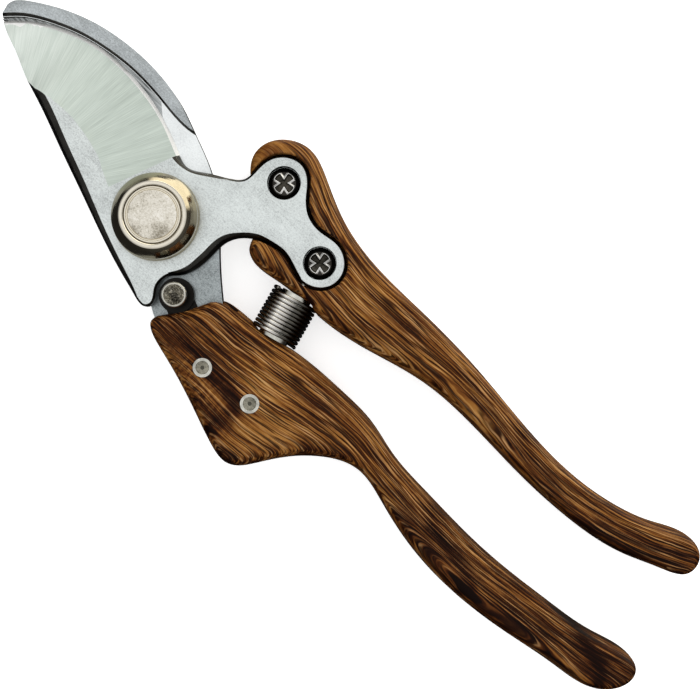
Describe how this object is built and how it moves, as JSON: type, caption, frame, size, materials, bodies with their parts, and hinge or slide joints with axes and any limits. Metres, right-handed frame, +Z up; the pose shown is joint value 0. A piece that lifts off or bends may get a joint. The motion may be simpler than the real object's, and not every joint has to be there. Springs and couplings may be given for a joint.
{
  "type": "bypass secateurs",
  "caption": "One-hand bypass secateurs with curved wooden handles, hooked counter blade, coil spring and thumb latch, shown closed.",
  "frame": {"origin": "on the pivot axis, at the flat underside of the pivot nut, which is the surface that the tool lies on", "axes": "+X towards the blade's tip, +Z up out of the cutting blade's face, along the pivot axis"},
  "size_m": [0.2061, 0.0651, 0.0173],
  "materials": {
    "blade_steel": "satin, cross-ground bevel",
    "hook_steel": "satin",
    "handle_wood": "satin lacquer over dark rosewood-like grain",
    "nickel_cap": "fine satin",
    "nickel": "polished nickel",
    "bronze": "sintered",
    "spring_steel": "polished, dark",
    "dark_chrome": "dark polished",
    "brass": "turned",
    "rivet_steel": "polished",
    "black_steel": "black oxide",
    "stud_steel": "chequered top"
  },
  "bodies": {
    "frame": {"counter_blade": "hook_steel", "lower_handle": "handle_wood", "pivot_bolt": "nickel_cap", "pivot_collar": "nickel", "pivot_spring_washer": "spring_steel", "pivot_nut": "nickel", "latch_rivet": "rivet_steel", "rear_rivet": "rivet_steel", "rivet_washers": "rivet_steel", "lever_washer": "spring_steel", "lower_spring_peg": "rivet_steel", "spring": "spring_steel"},
    "cutter": {"cutting_blade": "blade_steel", "upper_handle": "handle_wood", "pivot_bush": "bronze", "handle_screws": "dark_chrome", "screw_inserts": "brass", "upper_spring_peg": "rivet_steel"},
    "latch": {"lock_lever": "black_steel", "lock_stud": "stud_steel"}
  },
  "joints": [
    {"name": "blade_pivot", "type": "hinge", "parent": "frame", "child": "cutter", "pos_m": [0, 0, 0.0097], "axis": [0, 0, 1], "range_deg": [0, 28], "deforming": ["spring"]},
    {"name": "latch_swing", "type": "hinge", "parent": "frame", "child": "latch", "pos_m": [-0.0307, 0.0175, 0.0087], "axis": [0, 0, 1], "range_deg": [-32, 0]}
  ],
  "couplings": [
    {"joint": "latch_swing", "follows": "blade_pivot", "ratio": -1.07}
  ]
}
